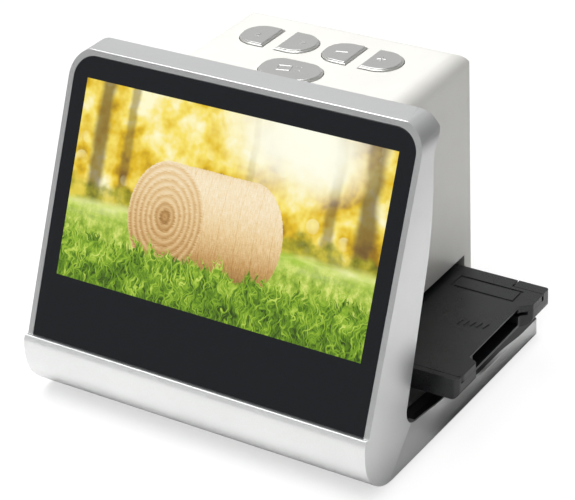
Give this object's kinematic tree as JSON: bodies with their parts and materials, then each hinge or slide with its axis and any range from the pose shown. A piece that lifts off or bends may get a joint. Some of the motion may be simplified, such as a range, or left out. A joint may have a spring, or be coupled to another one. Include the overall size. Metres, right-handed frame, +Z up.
{
  "type": "film negative scanner",
  "caption": "Desktop film scanner with a leaning colour screen in a silver frame, a white camera body behind it and a hinged film holder that slides through.",
  "frame": {"origin": "on the surface the scanner stands on, under the middle of its outline", "axes": "+X to the right of someone facing the screen, along the film holder; +Y to the rear; +Z up"},
  "size_m": [0.1464, 0.1093, 0.1076],
  "materials": {
    "silver_paint": "satin",
    "black_glass": "gloss",
    "display": "gloss",
    "sheet_steel": "brushed",
    "screw_steel": "satin",
    "white_plastic": "gloss",
    "grey_plastic": "matte",
    "foot_rubber": "matte",
    "black_plastic": "matte",
    "diffuser_plastic": "matte",
    "circuit_board": "satin",
    "led_plastic": "gloss",
    "lens_glass": "gloss",
    "chip_plastic": "matte",
    "cable_film": "satin",
    "port_metal": "satin",
    "silver_key": "satin",
    "holder_plastic": "matte",
    "magnet_metal": "gloss"
  },
  "bodies": {
    "scanner": {"front_frame": "silver_paint", "screen_glass": "black_glass", "display_panel": "display", "display_bracket": "sheet_steel", "bracket_screws": "screw_steel", "screen_back_cover": "white_plastic", "upper_housing": "white_plastic", "base_plate": "grey_plastic", "arm_liners": "black_plastic", "rubber_feet": "foot_rubber", "base_screws": "screw_steel", "light_box": "black_plastic", "light_diffuser": "diffuser_plastic", "light_board": "circuit_board", "light_leds": "led_plastic", "holder_guide": "black_plastic", "guide_screws": "screw_steel", "camera_hood": "black_plastic", "lens_barrel": "black_plastic", "lens_element": "lens_glass", "sensor_board": "circuit_board", "image_sensor": "chip_plastic", "main_board": "circuit_board", "processor": "chip_plastic", "display_cable": "cable_film", "usb_port": "port_metal", "hdmi_port": "port_metal", "card_socket": "port_metal", "board_screws": "screw_steel", "button_board": "circuit_board", "key_switches": "chip_plastic"},
    "film_holder": {"holder_base": "holder_plastic", "holder_hinge_pin": "screw_steel", "holder_magnets": "magnet_metal"},
    "holder_cover": {"holder_lid": "holder_plastic", "lid_magnets": "magnet_metal"},
    "back_button_key": {"back_button": "silver_key"},
    "forward_button_key": {"forward_button": "silver_key"},
    "minus_button_key": {"minus_button": "silver_key"},
    "plus_button_key": {"plus_button": "silver_key"},
    "scan_button_key": {"scan_button": "silver_key"}
  },
  "joints": [
    {"name": "holder_slide", "type": "slide", "parent": "scanner", "child": "film_holder", "axis": [1, 0, 0], "range_m": [-0.105, 0.105]},
    {"name": "lid_hinge", "type": "hinge", "parent": "film_holder", "child": "holder_cover", "pos_m": [0, 0.03975, 0.0246], "axis": [-1, 0, 0], "range_deg": [0, 1.5]},
    {"name": "back_button_press", "type": "slide", "parent": "scanner", "child": "back_button_key", "axis": [0, 0, -1], "range_m": [0, 0.0005], "stiffness_N_per_m": 400, "springref_m": -0.0005},
    {"name": "forward_button_press", "type": "slide", "parent": "scanner", "child": "forward_button_key", "axis": [0, 0, -1], "range_m": [0, 0.0005], "stiffness_N_per_m": 400, "springref_m": -0.0005},
    {"name": "minus_button_press", "type": "slide", "parent": "scanner", "child": "minus_button_key", "axis": [0, 0, -1], "range_m": [0, 0.0005], "stiffness_N_per_m": 400, "springref_m": -0.0005},
    {"name": "plus_button_press", "type": "slide", "parent": "scanner", "child": "plus_button_key", "axis": [0, 0, -1], "range_m": [0, 0.0005], "stiffness_N_per_m": 400, "springref_m": -0.0005},
    {"name": "scan_button_press", "type": "slide", "parent": "scanner", "child": "scan_button_key", "axis": [0, 0, -1], "range_m": [0, 0.0005], "stiffness_N_per_m": 400, "springref_m": -0.0005}
  ]
}
